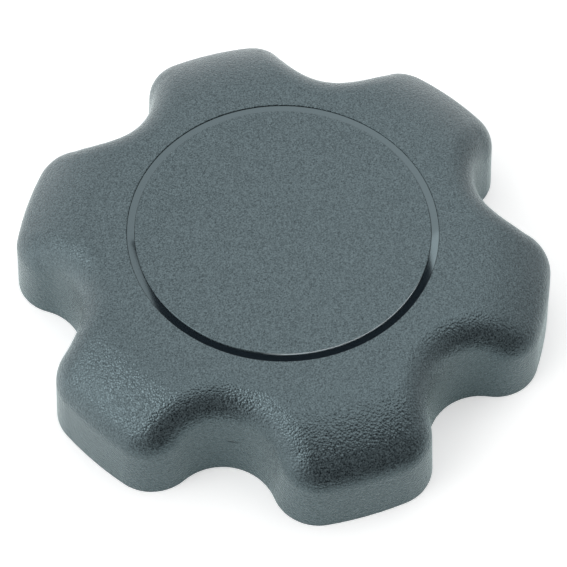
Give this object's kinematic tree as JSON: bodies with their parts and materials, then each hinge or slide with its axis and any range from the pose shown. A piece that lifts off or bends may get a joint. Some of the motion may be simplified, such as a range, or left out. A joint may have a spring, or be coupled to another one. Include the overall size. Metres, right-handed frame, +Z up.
{
  "type": "fuel filler cap",
  "caption": "Screw-on fuel filler cap: lobed plastic grip that slips once tight, on a threaded closure cup with a flat gasket and a pressure and vacuum valve.",
  "frame": {"origin": "centre of the circle that the shell's rim stands on", "axes": "+Z up along the cap's axis, from the open rim to the flat top; +X through the middle of a scallop"},
  "size_m": [0.0906, 0.0958, 0.0194],
  "materials": {
    "grained_shell": "spark-grained moulded plastic, dark blue grey",
    "grained_disc": "fine-grained moulded plastic, dark blue grey",
    "polished_ring": "polished moulded plastic",
    "closure_plastic": "moulded acetal, black",
    "housing_plastic": "moulded nylon, dark grey",
    "acetal": "moulded acetal, natural white",
    "seal_rubber": "moulded nitrile rubber, black",
    "spring_steel": "bright spring steel",
    "plated_steel": "zinc-plated steel",
    "filter_foam": "open-cell foam, grey"
  },
  "bodies": {
    "closure": {"closure_cup": "closure_plastic", "glide_ring": "acetal", "neck_gasket": "seal_rubber", "pawl_ring": "acetal", "cone_washer": "spring_steel", "valve_housing": "housing_plastic", "housing_o_ring": "seal_rubber", "housing_screws": "plated_steel", "valve_lid": "housing_plastic", "dust_filter": "filter_foam", "pressure_spring": "spring_steel"},
    "grip": {"grip_shell": "grained_shell", "centre_disc": "grained_disc", "trim_ring": "polished_ring", "retaining_ring": "spring_steel"},
    "pressure_valve": {"pressure_plate": "acetal", "valve_seal": "seal_rubber", "vacuum_spring": "spring_steel"},
    "vacuum_valve": {"vacuum_valve": "acetal", "spring_clip": "spring_steel"}
  },
  "joints": [
    {"name": "grip_turn", "type": "hinge", "parent": "closure", "child": "grip", "pos_m": [0, 0, 0], "axis": [0, 0, 1], "continuous": true, "deforming": ["pawl_ring"]},
    {"name": "pressure_lift", "type": "slide", "parent": "closure", "child": "pressure_valve", "axis": [0, 0, 1], "range_m": [0, 0.0008], "stiffness_N_per_m": 300, "springref_m": -0.008, "deforming": ["pressure_spring"]},
    {"name": "vacuum_drop", "type": "slide", "parent": "pressure_valve", "child": "vacuum_valve", "axis": [0, 0, -1], "range_m": [0, 0.0006], "stiffness_N_per_m": 60, "springref_m": -0.003, "deforming": ["vacuum_spring"]}
  ]
}
